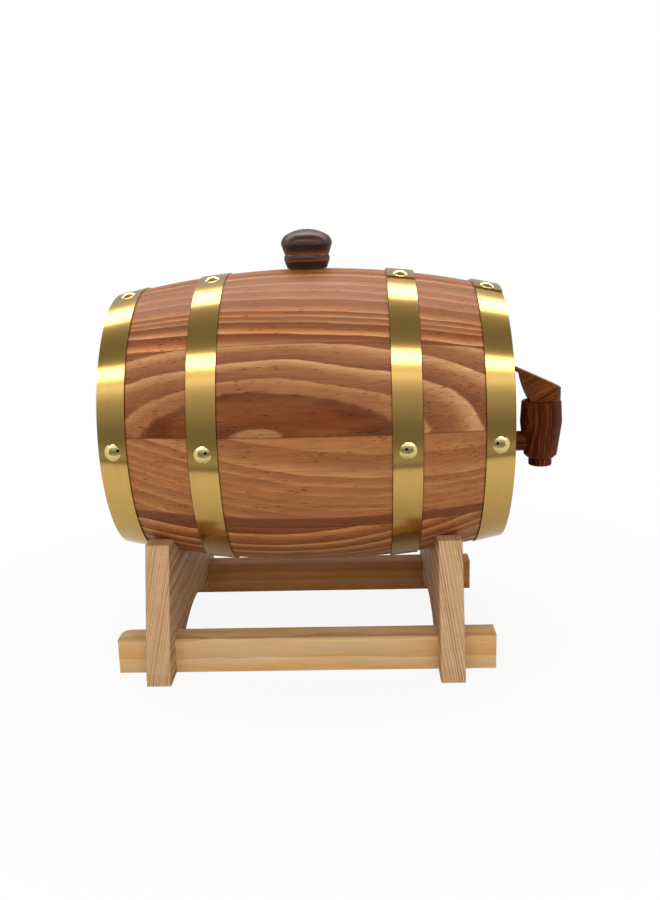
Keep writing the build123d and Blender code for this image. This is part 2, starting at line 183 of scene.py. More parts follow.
print("floor", round(floor.dimensions.x, 1), "m wide")

# %% [markdown]
# ## What the brass mirrors
# Brass shows its surroundings more than its own colour. In a studio, strips of white and grey
# paper are hung round a metal object: here they are one tube of paper along the cask, seen only
# in reflections. Its brightness is set by the angle above the front, seen from the tube's own
# axis: dim at table height, greys above that, a bright strip from 45 to 54 degrees, a dark gap, a
# second bright strip from 102 to 116 degrees, just behind the zenith, and greys down to the back.
# Towards both ends the paper is evenly bright, and the chime hoops, which slope outwards, mirror
# some of that.

# %% Tube of paper round the set
tube_radius, tube_length, tube_height = 0.5, 2.4, 0.17
tube_low, tube_span = -30.0, 240.0  # the degrees that the strips cover
tube_power = 7.3                    # the brightest strip
# (degrees above the front, brightness)
paper_strips = [
    (-30, 0.5), (-17, 0.45), (-10, 0.27), (2, 0.28), (8, 0.38), (19, 0.54), (25, 0.66), (31, 1.0),
    (36, 1.7), (41, 1.1), (44.5, 1.1), (45.5, 7.3), (54, 7.3), (55.5, 0.27), (77, 0.27), (89, 0.37),
    (101, 0.55), (102.5, 6.5), (116, 6.5), (119, 2.2), (125, 0.75), (134, 0.6), (150, 0.5), (175, 0.6),
]
side_light, side_start, side_end = 1.5, 0.75, 0.9  # the bright ends: from 0.75 m, full at 0.9 m


def tube_shape(shape):
    ends = [shape.verts.new((side * tube_length / 2, -tube_radius, tube_height)) for side in (-1, 1)]
    edge = shape.edges.new(ends)
    bmesh.ops.spin(
        shape, geom=ends + [edge], cent=(0, 0, tube_height), axis=(1, 0, 0),
        angle=2 * pi, steps=96, use_merge=True,
    )


def seen_by_mirrors_only(card):
    card.visible_camera = card.visible_diffuse = card.visible_shadow = card.visible_transmission = False


def paper_grey(brightness):
    return [brightness / tube_power] * 3 + [1.0]


strip_paper, tree = new_material("white_and_grey_paper_strips")
place = add_node(tree, "ShaderNodeTexCoord")
parts = add_node(tree, "ShaderNodeSeparateXYZ", {}, {0: place.outputs["Object"]})
height = add_node(
    tree, "ShaderNodeMath", {"operation": "SUBTRACT", 1: tube_height}, {0: parts.outputs["Z"]}
)
forward = add_node(tree, "ShaderNodeMath", {"operation": "MULTIPLY", 1: -1.0}, {0: parts.outputs["Y"]})
angle = add_node(tree, "ShaderNodeMath", {"operation": "ARCTAN2"}, {0: height, 1: forward})
spot = add_node(
    tree, "ShaderNodeMapRange",
    {"From Min": radians(tube_low), "From Max": radians(tube_low + tube_span)}, {"Value": angle},
)
strip_stops = [((above - tube_low) / tube_span, paper_grey(bright)) for above, bright in paper_strips]
strips = add_node(tree, "ShaderNodeValToRGB", {"stops": strip_stops}, {"Fac": spot})
aside = add_node(tree, "ShaderNodeMath", {"operation": "ABSOLUTE"}, {0: parts.outputs["X"]})
side_share = add_node(
    tree, "ShaderNodeMapRange",
    {"interpolation_type": "SMOOTHSTEP", "From Min": side_start, "From Max": side_end}, {"Value": aside},
)
light = add_node(
    tree, "ShaderNodeMix", {"data_type": "RGBA", 7: paper_grey(side_light)}, {0: side_share, 6: strips}
).outputs[2]
glow = add_node(tree, "ShaderNodeEmission", {"Strength": tube_power}, {"Color": light})
add_node(tree, "ShaderNodeOutputMaterial", {}, {"Surface": glow})
tube = sheet_object("paper_tube", tube_shape, strip_paper)
seen_by_mirrors_only(tube)
print("paper tube", tube_radius * 2, "m across with", len(paper_strips), "stops")

# %% [markdown]
# The hoops also mirror the front edge of the table, as a thin dark line with a dimmer strip beyond
# it, and a polished nail head mirrors the dark camera as a spot. Both are small cards that only
# mirrors see.

# %% Table edge and camera body
table_edge, tube_foot, card_height = -0.325, -0.49, 0.001
camera_card_place, camera_card_radius = (0.01, -0.46, 0.21), 0.09
# from the tube's foot to the table's edge
edge_stops = [(0.0, "#c0c0c0"), (0.68, "#bcbcbc"), (0.8, "#5c5c5c"), (0.93, "#585858"), (1.0, "#ffffff")]
camera_stops = [(0.0, "#101010"), (1.0, "#101010")]


def mirror_card(name, maker, stops, low, high):
    material, tree = new_material(name)
    place = add_node(tree, "ShaderNodeTexCoord")
    parts = add_node(tree, "ShaderNodeSeparateXYZ", {}, {0: place.outputs["Object"]})
    spot = add_node(
        tree, "ShaderNodeMapRange", {"From Min": low, "From Max": high}, {"Value": parts.outputs["Y"]}
    )
    grey = add_node(tree, "ShaderNodeValToRGB", {"stops": stops}, {"Fac": spot})
    glow = add_node(tree, "ShaderNodeEmission", {"Strength": 1.0}, {"Color": grey})
    add_node(tree, "ShaderNodeOutputMaterial", {}, {"Surface": glow})
    seen_by_mirrors_only(sheet_object(name, maker, material))


def table_edge_shape(shape):
    depth = table_edge - tube_foot
    bmesh.ops.create_grid(shape, x_segments=1, y_segments=1, size=1.0)
    bmesh.ops.scale(shape, vec=(tube_length / 2, depth / 2, 1), verts=shape.verts)
    bmesh.ops.translate(shape, vec=(0, tube_foot + depth / 2, card_height), verts=shape.verts)


def camera_body_shape(shape):
    bmesh.ops.create_circle(shape, cap_ends=True, segments=48, radius=camera_card_radius)
    bmesh.ops.rotate(shape, matrix=Matrix.Rotation(radians(90), 3, "X"), verts=shape.verts)
    bmesh.ops.translate(shape, vec=camera_card_place, verts=shape.verts)


mirror_card("table_edge_card", table_edge_shape, edge_stops, tube_foot, table_edge)
mirror_card("camera_body_card", camera_body_shape, camera_stops, -1.0, 0.0)
print("table edge mirrored at", table_edge, "m")

# %% [markdown]
# ## Lamps and background
# Two large soft lamps light the set, one in front and one above and a little behind, and the
# world fills the shadows. The camera and mirror-like surfaces see the world as plain white.

# %% Lamps and world
world_fill = 0.38


def soft_lamp(name, elevation, distance, width, depth, watts):
    data = bpy.data.lights.new(name, "AREA")
    data.shape, data.size, data.size_y, data.energy = "RECTANGLE", width, depth, watts
    lamp = bpy.data.objects.new(name, data)
    aim = Vector((0, 0, tube_height))
    lamp.location = aim + distance * Vector((0, -cos(radians(elevation)), sin(radians(elevation))))
    lamp.rotation_euler = (aim - lamp.location).to_track_quat("-Z", "Y").to_euler()
    lamp.visible_glossy = False
    bpy.context.scene.collection.objects.link(lamp)
    print(name, "at", [round(v, 2) for v in lamp.location], "m,", watts, "W")


soft_lamp("front_lamp", elevation=24, distance=1.5, width=1.4, depth=0.7, watts=11.0)
soft_lamp("top_lamp", elevation=104, distance=1.4, width=1.4, depth=0.6, watts=8.0)

world = bpy.data.worlds.new("white_room")
bpy.context.scene.world = world
world.use_nodes = True
tree = world.node_tree
tree.nodes.clear()
ray = add_node(tree, "ShaderNodeLightPath")
seen = ray.outputs["Is Camera Ray"]
for ray_kind in ("Is Glossy Ray", "Is Transmission Ray"):
    seen = add_node(
        tree, "ShaderNodeMath", {"operation": "ADD", "use_clamp": True}, {0: seen, 1: ray.outputs[ray_kind]}
    )
fill = add_node(tree, "ShaderNodeMapRange", {"To Min": world_fill, "To Max": 1.0}, {"Value": seen})
white = add_node(tree, "ShaderNodeBackground", {"Color": (1, 1, 1, 1)}, {"Strength": fill})
add_node(tree, "ShaderNodeOutputWorld", {}, {"Surface": white})

# %% [markdown]
# ## How wood gets its figure
# A board is cut from a trunk that is built of growth rings, one inside the other. Where the
# surface runs nearly along a ring, the rings show as broad waves and closed loops, and where it
# crosses them squarely, they show as stripes. So every piece gets a depth, in millimetres, that
# grows from ring to ring: partly through its face, partly across its width, and a little along
# its length. Noise that is stretched along the grain makes the rings wander.
#
# Each piece has its own cut, a dictionary with these words:
# - face, side, lean, bow: how fast the depth grows through the face, across the width, along the
#   length, and with the square of the length; apex is the place along the length that lean and
#   bow count from, and offset is a depth that is added everywhere
# - wander, ripple: how far the rings swing, in mm, in slow bends and in small waves
# - rings: each ring's start in mm and how dark it is; or seed and width, for rings drawn at random
# - tints: the two tints that the stain drifts between
# - band: a dark band along the far edge of the width: where it fades in, from and to, in mm
# - eye: a pale lens: its place along and across, then its half length and half width, in mm

# %% Where a point is in the board
# One patch of each pattern, in mm along the grain and across it, and how far its noise is shifted.
# Real fibres are about 3 by 0.03 mm and real resin canals 5 by 0.2 mm. Both are too fine to show,
# so fibres are drawn 0.9 mm wide and canals up to 0.8 mm.
grain_patterns = {
    "wander": (71.429, 42.017, (12.6, 0, 0)),  # slow bends of the rings
    "ripple": (22.222, 13.072, (40.5, 0, 0)),  # small waves in them
    "jitter": (3.3333, 1.9608, (270, 0, 0)),   # their ragged edges
    "patch": (83.333, 14.286, (0, 0, 0)),      # where the rings stand out
    "drift": (100.0, 9.0909, (7, 3, 5)),       # where the stain took more
    "fibre": (33.333, 0.90909, (0, 0, 0)),
    "streak": (71.429, 4.5455, (3, 9, 4)),     # several fibres together
    "canals": (8.3333, 1.0526, (0, 0, 0)),     # a cell with room for one canal
}
noise_low, noise_high = 0.3, 0.7  # most of a noise lies between these values


def lay_grain(tree, place, grain_turn, bark_turn, radius):
    coords = add_node(tree, "ShaderNodeTexCoord")
    millimetres = add_node(
        tree, "ShaderNodeMapping", {"Location": [-v * mm for v in place], "Scale": (mm, mm, mm)},
        {"Vector": coords.outputs["Object"]},
    )
    along = add_node(tree, "ShaderNodeMapping", {"Rotation": grain_turn}, {"Vector": millimetres})
    bark = add_node(tree, "ShaderNodeMapping", {"Rotation": (bark_turn, 0, 0)}, {"Vector": along})
    parts = add_node(tree, "ShaderNodeSeparateXYZ", {}, {0: bark})
    x, y, z = parts.outputs
    grain = {"x": x, "z": z}
    # across the width: straight for a flat board, round the cask for a stave
    grain["across"] = add_node(tree, "ShaderNodeMath", {"operation": "MULTIPLY", 1: -1.0}, {0: y})
    if radius:
        turn = add_node(tree, "ShaderNodeMath", {"operation": "ARCTAN2"}, {0: grain["across"], 1: z})
        grain["turn"] = turn
        grain["across"] = add_node(tree, "ShaderNodeMath", {"operation": "MULTIPLY", 1: radius}, {0: turn})
    for pattern, (length, width, shift) in grain_patterns.items():
        grain[pattern] = add_node(
            tree, "ShaderNodeMapping",
            {"Location": shift, "Scale": (1 / length, 1 / width, 1 / width)}, {"Vector": bark},
        )
    return grain


finest = min(width for _, width, _ in grain_patterns.values())
print(len(grain_patterns), "patterns, the finest", round(finest, 2), "mm wide")

# %% Depth from ring to ring
usual_wander, usual_ripple, jitter = 2.2, 0.7, 0.16  # how far the rings swing, mm


def ring_depth(tree, grain, cut, radius):
    face, side = cut.get("face", 0.0), cut.get("side", 1.0)
    lean, bow = cut.get("lean", 0.0), cut.get("bow", 0.0)
    start = cut.get("offset", 0.0) + face * radius
    depth = add_node(
        tree, "ShaderNodeMath", {"operation": "MULTIPLY_ADD", 1: -face, 2: start}, {0: grain["z"]}
    )
    depth = add_node(
        tree, "ShaderNodeMath", {"operation": "MULTIPLY_ADD", 1: side}, {0: grain["across"], 2: depth}
    )
    there = add_node(
        tree, "ShaderNodeMath", {"operation": "SUBTRACT", 1: cut.get("apex", 0.0)}, {0: grain["x"]}
    )
    bent = add_node(tree, "ShaderNodeMath", {"operation": "MULTIPLY_ADD", 1: bow, 2: lean}, {0: there})
    depth = add_node(tree, "ShaderNodeMath", {"operation": "MULTIPLY_ADD"}, {0: there, 1: bent, 2: depth})
    swings = {
        "wander": (cut.get("wander", usual_wander), 2.0),
        "ripple": (cut.get("ripple", usual_ripple), 2.0),
        "jitter": (jitter, 3.0),
    }
    for pattern, (swing, detail) in swings.items():
        noise = add_node(
            tree, "ShaderNodeTexNoise", {"Scale": 1.0, "Detail": detail, "Roughness": 0.5},
            {"Vector": grain[pattern]},
        )
        wave = add_node(tree, "ShaderNodeMath", {"operation": "SUBTRACT", 1: 0.5}, {0: noise})
        depth = add_node(
            tree, "ShaderNodeMath", {"operation": "MULTIPLY_ADD", 1: swing * 2}, {0: wave, 2: depth}
        )
    return depth, wave


print("rings wander by", usual_wander, "mm and ripple by", usual_ripple, "mm, where a cut says nothing")

# %% [markdown]
# ## The ladder of rings
# Rings are never equally wide, so each piece has its own ladder of ring edges. A colour ramp over
# that ladder starts each ring dark and crisp, lets it fade, and ends it in a thin pale line. Its
# colours are mixed from a few shades of the finish, more or less dark from ring to ring. A ring
# darker than 1 is heartwood: it blends softly from the heart's colour towards dark gum.
#
# A ramp takes 32 stops and a ring uses three, so a ladder has at most ten rings.

# %% The ladder of rings
ring_count = 9
ring_widths, ring_darkness = (0.5, 1.6), (0.25, 1.0)      # of rings drawn at random, least and most
first_darkness = 0.7
pale_line, pale_line_share, heart_blend = 0.3, 0.1, 0.35  # mm, and shares of a ring's width
fade_share, least_pale = 0.3, 0.15  # darkness left half way across a ring; paleness of the faintest
faint_rings = 0.7                   # how much of the rings shows where they are faintest
clear_patch = 0.6                   # the noise above which they show in full


def mix_shades(first, second, share):
    return [a + (b - a) * share for a, b in zip(linear(first), linear(second))]


def ring_ladder(seed, width):
    draw = random.Random(seed)
    rings = [(0.0, first_darkness)]
    for _ in range(ring_count):
        start = rings[-1][0] + width * draw.uniform(*ring_widths)
        rings.append((start, draw.uniform(*ring_darkness)))
    return rings


def ladder_colours(rings, finish):
    start, span = rings[0][0], rings[-1][0] - rings[0][0]
    stops = []
    for (low, darkness), (high, _) in zip(rings[:-1], rings[1:]):
        width = high - low
        if darkness > 1.0:
            edge = middle = pale = mix_shades(finish["heart"], finish["gum"], darkness - 1.0)
            crisp = width * heart_blend
        else:
            edge = mix_shades(finish["middle"], finish["dark"], darkness)
            middle = mix_shades(finish["middle"], finish["dark"], darkness * fade_share)
            paleness = least_pale + (1 - least_pale) * darkness
            pale = mix_shades(finish["middle"], finish["pale"], paleness)
            crisp = min(pale_line, width * pale_line_share)
        stops.append(((low - start) / span, edge))
        stops.append(((low + width / 2 - start) / span, middle))
        stops.append(((high - crisp - start) / span, pale))
    return start, span, stops


def ring_colours(tree, grain, cut, finish, depth):
    rings = cut.get("rings") or ring_ladder(cut.get("seed", 1), cut.get("width", 4.0))
    start, span, stops = ladder_colours(rings, finish)
    part = add_node(tree, "ShaderNodeMath", {"operation": "SUBTRACT", 1: start}, {0: depth})
    part = add_node(tree, "ShaderNodeMath", {"operation": "DIVIDE", 1: span}, {0: part})
    part = add_node(tree, "ShaderNodeMath", {"operation": "FRACT"}, {0: part})
    shades = add_node(tree, "ShaderNodeValToRGB", {"stops": stops}, {"Fac": part})
    # rings stand out more in some places than in others
    patch = add_node(tree, "ShaderNodeTexNoise", {"Scale": 1.0, "Detail": 3.0}, {"Vector": grain["patch"]})
    clear = add_node(
        tree, "ShaderNodeMapRange",
        {"From Min": noise_low, "From Max": clear_patch, "To Min": faint_rings, "To Max": 1.0},
        {"Value": patch},
    )
    return add_node(
        tree, "ShaderNodeMix", {"data_type": "RGBA", 6: linear(finish["middle"])}, {0: clear, 7: shades}
    ).outputs[2]


print("a ladder 4 mm a ring ends at", round(ring_ladder(seed=1, width=4.0)[-1][0], 1), "mm")

# %% [markdown]
# ## Dark band and pale eye
# Two marks of the figure are placed where a stave shows them: a dark band along one edge, and a
# pale lens where the surface just touches a ring. The finest noise of the rings makes the lens's
# edge ragged.

# %% Band and eye
band_strength, eye_strength, eye_ragged, eye_pale = 0.85, 0.8, 0.8, 0.3
eye_edge = (0.7, 1.1)  # where the lens begins to fade and where it ends, squared shares of its size


def add_band(tree, grain, finish, colour, band):
    in_band = add_node(
        tree, "ShaderNodeMapRange",
        {"interpolation_type": "SMOOTHSTEP",
         "From Min": band[0], "From Max": band[1], "To Max": band_strength},
        {"Value": grain["across"]},
    )
    return add_node(
        tree, "ShaderNodeMix", {"data_type": "RGBA", 7: linear(finish["dark"])}, {0: in_band, 6: colour}
    ).outputs[2]


def add_eye(tree, grain, finish, colour, eye, wave):
    eye_x, eye_across, half_length, half_width = eye
    off = []
    for way, middle, half in (("x", eye_x, half_length), ("across", eye_across, half_width)):
        share = add_node(
            tree, "ShaderNodeMath", {"operation": "MULTIPLY_ADD", 1: 1 / half, 2: -middle / half},
            {0: grain[way]},
        )
        off.append(add_node(tree, "ShaderNodeMath", {"operation": "POWER", 1: 2.0}, {0: share}))
    away = add_node(tree, "ShaderNodeMath", {"operation": "ADD"}, {0: off[0], 1: off[1]})
    away = add_node(
        tree, "ShaderNodeMath", {"operation": "MULTIPLY_ADD", 1: eye_ragged}, {0: wave, 2: away}
    )
    in_eye = add_node(
        tree, "ShaderNodeMapRange",
        {"From Min": eye_edge[0], "From Max": eye_edge[1], "To Min": eye_strength, "To Max": 0.0},
        {"Value": away},
    )
    lens = mix_shades(finish["middle"], finish["pale"], eye_pale)
    return add_node(
        tree, "ShaderNodeMix", {"data_type": "RGBA", 7: lens}, {0: in_eye, 6: colour}
    ).outputs[2]


print("a band covers", band_strength, "of the figure and an eye", eye_strength)

# %% [markdown]
# ## Drifting stain
# Stain soaks into some stretches more than into others, so its tint drifts slowly between two.
# The same drift crowds the dark resin canals in some places and thins them in others.

# %% Drift of the stain
plain_tints = ("#ffffff", "#fff4ea")
drift_low, drift_high = 0.35, 0.62  # the noise where only the first tint shows, and only the second


def add_drift(tree, grain, cut, colour):
    drift = add_node(tree, "ShaderNodeTexNoise", {"Scale": 1.0, "Detail": 3.0}, {"Vector": grain["drift"]})
    share = add_node(
        tree, "ShaderNodeMapRange", {"From Min": drift_low, "From Max": drift_high}, {"Value": drift}
    )
    first, second = cut.get("tints", plain_tints)
    tint = add_node(
        tree, "ShaderNodeMix", {"data_type": "RGBA", 6: linear(first), 7: linear(second)}, {0: share}
    ).outputs[2]
    tinted = add_node(
        tree, "ShaderNodeMix", {"data_type": "RGBA", "blend_type": "MULTIPLY", 0: 1.0}, {6: colour, 7: tint}
    ).outputs[2]
    return tinted, drift


print("the stain drifts between", " and ".join(plain_tints), "where a cut says nothing")

# %% [markdown]
# ## Fibres, streaks and resin canals
# Close up, softwood has fine fibres, broader streaks of them, and short dark dashes, which are
# resin canals cut lengthwise. All three lighten or darken the colour, so they are multiplied
# into one level, which the bump uses as well. The canals are stretched cells: a cell holds a
# dash in its middle if its random value is high enough.

# %% Fibres, streaks and canals
streak_low, streak_high = 0.32, 0.68       # the noise where a streak is darkest and palest
canal_core, canal_edge = 0.16, 0.36        # the dash within its cell: full, and gone
faint_drift, full_drift = 0.42, 0.56       # the drift where canals are faint, and full
faint_canal = 0.25                         # how dark a faint one is, against a full one


def fibre_level(tree, grain, finish, drift):
    fibre = add_node(
        tree, "ShaderNodeTexNoise", {"Scale": 1.0, "Detail": 4.0, "Roughness": 0.65},
        {"Vector": grain["fibre"]},
    )
    level = add_node(
        tree, "ShaderNodeMapRange",
        {"From Min": noise_low, "From Max": noise_high,
         "To Min": 1 - finish["fibre"], "To Max": 1 + finish["fibre"]},
        {"Value": fibre},
    )
    streak = add_node(
        tree, "ShaderNodeTexNoise", {"Scale": 1.0, "Detail": 3.0, "Roughness": 0.6},
        {"Vector": grain["streak"]},
    )
    streak_level = add_node(
        tree, "ShaderNodeMapRange",
        {"From Min": streak_low, "From Max": streak_high,
         "To Min": 1 - finish["streak"], "To Max": 1 + finish["streak"]},
        {"Value": streak},
    )
    cells = add_node(tree, "ShaderNodeTexVoronoi", {"Scale": 1.0}, {"Vector": grain["canals"]})
    crowd = add_node(
        tree, "ShaderNodeMapRange",
        {"From Min": faint_drift, "From Max": full_drift,
         "To Min": faint_canal * finish["pit"], "To Max": finish["pit"]},
        {"Value": drift},
    )
    inside = add_node(
        tree, "ShaderNodeMapRange", {"From Min": canal_core, "From Max": canal_edge, "To Max": 0.0},
        {"Value": cells.outputs["Distance"], "To Min": crowd},
    )
    chosen = add_node(
        tree, "ShaderNodeMath", {"operation": "GREATER_THAN", 1: finish["pit_share"]},
        {0: cells.outputs["Color"]},
    )
    canal = add_node(tree, "ShaderNodeMath", {"operation": "MULTIPLY"}, {0: inside, 1: chosen})
    canal_level = add_node(tree, "ShaderNodeMath", {"operation": "SUBTRACT", 0: 1.0}, {1: canal})
    for factor in (streak_level, canal_level):
        level = add_node(tree, "ShaderNodeMath", {"operation": "MULTIPLY"}, {0: level, 1: factor})
    return level, fibre


print("a canal's dash is", round(canal_edge * 2 * grain_patterns["canals"][0], 1), "mm long at most")

# %% [markdown]
# ## Dark lines at joints, and painted shade beside the hoops
# Stain and dust gather where a stave meets the next, so each joint gets a thin dark line. The
# corner beside a hoop gets a thin dark line too: painted shade, for the shadow that the hoop's edge
# casts there.

# %% Joint lines and painted shade beside the hoops
joint_outer, joint_inner, joint_dark = 0.007, 0.001, 0.5  # radians from the joint: 0.8 and 0.1 mm
# painted shade beside each hoop: how far it reaches in mm, and how dark it is at the hoop
hoop_shade_width, hoop_shade_level = 0.9, 0.3                           # mm beside the hoop


def add_joint_lines_and_hoop_shade(tree, grain, level, joints, hoops):
    lines = []
    if joints:
        middle, half = (joints[0] + joints[1]) / 2, (joints[1] - joints[0]) / 2
        lines.append((grain["turn"], middle, half - joint_outer, half - joint_inner, 1.0, joint_dark))
    # painted shade: a thin dark line beside each hoop, where the hoop's edge shades the wood
    for middle, half in hoops:
        lines.append((grain["x"], middle, half, half + hoop_shade_width, hoop_shade_level, 1.0))
    for source, middle, near, far, near_level, far_level in lines:
        off = add_node(tree, "ShaderNodeMath", {"operation": "SUBTRACT", 1: middle}, {0: source})
        off = add_node(tree, "ShaderNodeMath", {"operation": "ABSOLUTE"}, {0: off})
        line = add_node(
            tree, "ShaderNodeMapRange",
            {"From Min": near, "From Max": far, "To Min": near_level, "To Max": far_level}, {"Value": off},
        )
        level = add_node(tree, "ShaderNodeMath", {"operation": "MULTIPLY"}, {0: level, 1: line})
    return level


print("lines", round(joint_outer * belly_radius * mm, 1), "mm wide at joints,", hoop_shade_width, "mm at hoops")

# %% [markdown]
# ## The wood material
# All layers come together here: the rings with their band and eye, the drifting stain, the fibres
# with their streaks and canals, the dark joint lines and the painted shade beside the hoops. Where
# fibres are pale, the surface is a little smoother, and the bump is a fifth of a millimetre deep at
# most.

# %% The wood material
gloss_swing, bump_depth = 0.06, 0.0002  # of the roughness, and metres
wood_ior, lacquer_rough = 1.5, 0.25


def wood(name, finish, place, grain_turn, bark_turn, cut, radius=0.0, joints=None, hoops=()):
    material, tree = new_material(name)
    grain = lay_grain(tree, place, grain_turn, bark_turn, radius)
    depth, wave = ring_depth(tree, grain, cut, radius)
    colour = ring_colours(tree, grain, cut, finish, depth)
    if "band" in cut:
        colour = add_band(tree, grain, finish, colour, cut["band"])
    if "eye" in cut:
        colour = add_eye(tree, grain, finish, colour, cut["eye"], wave)
    colour, drift = add_drift(tree, grain, cut, colour)
    level, fibre = fibre_level(tree, grain, finish, drift)
    # the dark joint lines, and the painted shade beside the hoops
    level = add_joint_lines_and_hoop_shade(tree, grain, level, joints, hoops)
    colour = add_node(tree, "ShaderNodeVectorMath", {"operation": "SCALE"}, {0: colour, "Scale": level})
    gloss = add_node(
        tree, "ShaderNodeMapRange",
        {"From Min": noise_low, "From Max": noise_high,
         "To Min": finish["rough"] + gloss_swing, "To Max": finish["rough"] - gloss_swing},
        {"Value": fibre},
    )
    bump = add_node(
        tree, "ShaderNodeBump", {"Strength": finish["bump"], "Distance": bump_depth}, {"Height": level}
    )
    surface = add_node(
        tree, "ShaderNodeBsdfPrincipled",
        {"IOR": wood_ior, "Specular IOR Level": finish["shine"],
         "Coat Weight": finish["coat"], "Coat Roughness": lacquer_rough},
        {"Base Color": colour, "Roughness": gloss, "Normal": bump},
    )
    add_node(tree, "ShaderNodeOutputMaterial", {}, {"Surface": surface})
    return material


print("the roughness of a wood swings by", gloss_swing, "either way")

# %% [markdown]
# ## Stained softwood for the cask
# The staves and heads are a softwood such as pine, turned smooth, stained reddish brown and given
# a satin lacquer. Two of the front staves are cut to show their figure: one nearly along its
# rings, so that it shows long loops round a dark heart, and the one below it across them, with
# broad bends.

# %% Stained finish and the staves
# fibre, streak: how far they lighten and darken the wood; pit: how dark the canals are, and
# pit_share: the share of cells without one; shine: the specular level; coat: the lacquer
stained = {
    "dark": "#6a381c", "middle": "#9e663c", "pale": "#cc9861", "heart": "#7a3a08", "gum": "#351505",
    "fibre": 0.22, "pit": 0.85, "pit_share": 0.66, "streak": 0.13,
    "rough": 0.46, "bump": 0.3, "shine": 0.2, "coat": 0.03,
}
# Angles go round the cask: 0 at the back, 90 at the top, 180 at the front, 270 underneath.
# span: a stave's two joints; bark: the angle where its depth and width are measured from
along_cask = (0, 0, 0)
staves = {
    # The two top staves, this and stave_02, have a lighter pale colour: partly their own tone, partly
    # painted sheen, where the lacquer on top catches the top lamp.
    "bung_stave": dict(
        span=(69, 111), bark=69, seed=11, width=9.0, lean=-0.02, tints=("#fff4e4", "#ffeed0"),
        finish=dict(pale="#dca877", fibre=0.12, streak=0.08),
    ),
    "stave_02": dict(
        span=(111, 144), bark=111, lean=-0.055, wander=2.6, ripple=0.6, tints=("#fff8f2", "#ffdfb4"),
        finish=dict(pale="#dca679", fibre=0.14, streak=0.1),
        rings=[(-8, 0.2), (6, 0.3), (15, 0.25), (24.5, 0.5), (36.5, 0.6), (41.5, 0.45), (46.5, 0.95),
               (56, 0.95), (68, 0.3)],
    ),
    "stave_03": dict(
        span=(144, 177), bark=177, face=1.0, side=0.0, lean=0.0256, bow=-0.00031, wander=1.5, ripple=0.55,
        tints=("#fff6f2", "#fff8ee"), finish=dict(pale="#d6a877"), eye=(-31, 0, 18, 6.0),
        rings=[(-6, 1.6), (0.2, 1.1), (2.3, 1.5), (3.5, 0.2), (5.9, 0.75), (11.0, 0.8), (18.0, 0.75),
               (25.5, 0.5), (32, 0.3)],
    ),
    "stave_04": dict(
        span=(177, 214), bark=177, apex=70, bow=0.00097, wander=2.4, ripple=0.5, band=(60.5, 62.5),
        tints=("#fff8f0", "#fff2e0"),
        rings=[(-12, 0.1), (13.8, 0.4), (31, 0.35), (38.5, 0.15), (46, 0.1), (52, 0.2), (57, 0.1),
               (64, 0.25), (74, 0.3), (88, 0.2)],
    ),
    "stave_05": dict(
        span=(214, 249), bark=214, offset=60, side=-1.0, lean=-0.13, bow=-0.0016, wander=1.6, ripple=0.4,
        tints=("#fff6ea", "#ffeedc"),
        rings=[(-20, 0.4), (4, 0.6), (14, 0.8), (27, 0.9), (39, 0.8), (54, 1.0), (80, 0.4)],
    ),
    "stave_06": dict(span=(249, 285), bark=249, seed=6, width=7.0, lean=0.03),
    "stave_07": dict(
        span=(285, 323), bark=300, face=1.0, side=0.0, seed=17, width=4.0, bow=-0.0003, apex=30
    ),
    "stave_08": dict(span=(323, 356), bark=323, seed=8, width=8.0, lean=-0.04, bow=0.0004, apex=-60),
    "stave_09": dict(
        span=(356, 393), bark=384, face=1.0, side=0.0, seed=29, width=5.0, bow=-0.0002, apex=-20
    ),
    "stave_10": dict(span=(33, 69), bark=33, seed=10, width=7.0, lean=0.05),
}
hoop_names = ["left_chime_hoop", "left_quarter_hoop", "right_quarter_hoop", "right_chime_hoop"]
hoop_spans = [(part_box(name)[0].x * mm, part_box(name)[1].x * mm) for name in hoop_names]
hoops = [((low + high) / 2 - cask_middle.x * mm, (high - low) / 2) for low, high in hoop_spans]
for name, cut in staves.items():
    first, last = [radians(joint - cut["bark"]) for joint in cut["span"]]
    material = wood(
        f"stained_softwood_{name}", {**stained, **cut.get("finish", {})}, place=cask_middle,
        grain_turn=along_cask, bark_turn=radians(90 - cut["bark"]), cut=cut, radius=belly_radius * mm,
        joints=(first, last), hoops=hoops,
    )
    dress([name], material)
print(len(staves), "staves, each with its own cut of the same wood")

# %% [markdown]
# ## The heads
# Each head is four boards of the same stained wood with the grain across the cask, so their
# figure is turned a quarter turn. Each board was sawn from another part of the trunk.

# %% Head boards
across_cask = (0, 0, radians(-90))
head_barks = (20, -25, 10, -15)  # degrees, board by board
head_cut = dict(width=5.0, side=0.9, face=0.4, lean=0.03, bow=0.0006, wander=3.0)
for side_name, side_seed in (("left", 40), ("tap", 50)):
    for number, bark in enumerate(head_barks, start=1):
        name = f"{side_name}_head_board_{number}"
        low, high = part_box(name)
        cut = dict(head_cut, seed=side_seed + number)
        material = wood(
            f"stained_softwood_{name}", stained, place=(low + high) / 2, grain_turn=across_cask,
            bark_turn=radians(bark), cut=cut,
        )
        dress([name], material)
print(2 * len(head_barks), "head boards")

# %% [markdown]
# ## Dark turned wood
# The bung and the tap are small turned pieces of a dark hardwood, polished with wax. The bung is
# almost black, with paler bands round it that are partly figure and partly painted highlight, where
# its polish catches the lamps. The tap is a warmer brown, with the grain of its body upright and
# that of its key slanted.

